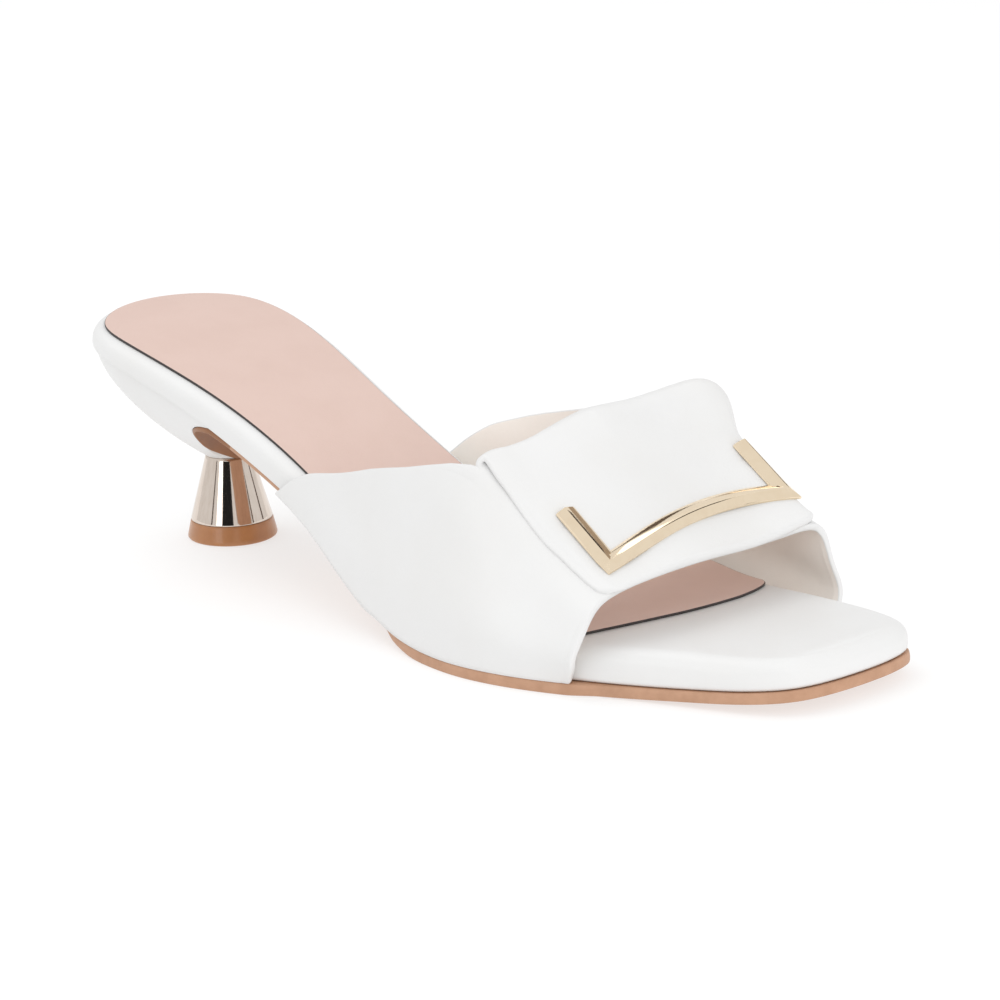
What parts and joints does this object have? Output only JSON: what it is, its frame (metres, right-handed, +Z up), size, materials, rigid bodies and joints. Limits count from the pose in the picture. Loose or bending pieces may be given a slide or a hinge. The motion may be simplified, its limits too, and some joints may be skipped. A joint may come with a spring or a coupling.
{
  "type": "kitten heel mule sandal",
  "caption": "Backless square-toe sandal on a low cone heel, with one wide strap whose back edge folds forward into a flap carrying a flat metal bracket.",
  "frame": {"origin": "on the floor, under the middle of the shoe's length and width", "axes": "+Z up; the toe points along -Y and the heel along +Y; +X is the inner, big-toe side"},
  "size_m": [0.088, 0.2508, 0.0604],
  "materials": {
    "tan_sole": "tan, matt, lightly polished edge",
    "white_leather": "smooth white wrapped edge, soft sheen",
    "nude_lining": "smooth nude pink, matt, dark inked edge",
    "heel_leather": "smooth white covering, soft sheen",
    "rose_metal": "polished pale rose-champagne plating",
    "tan_top_piece": "tan, matt",
    "strap_leather": "smooth white, soft sheen",
    "gold_metal": "polished pale gold"
  },
  "bodies": {
    "root": {"outsole": "tan_sole", "footbed": "white_leather", "insock": "nude_lining", "heel_block": "heel_leather", "heel_cone": "rose_metal", "top_piece": "tan_top_piece", "upper": "strap_leather", "bracket": "gold_metal"}
  },
  "joints": []
}
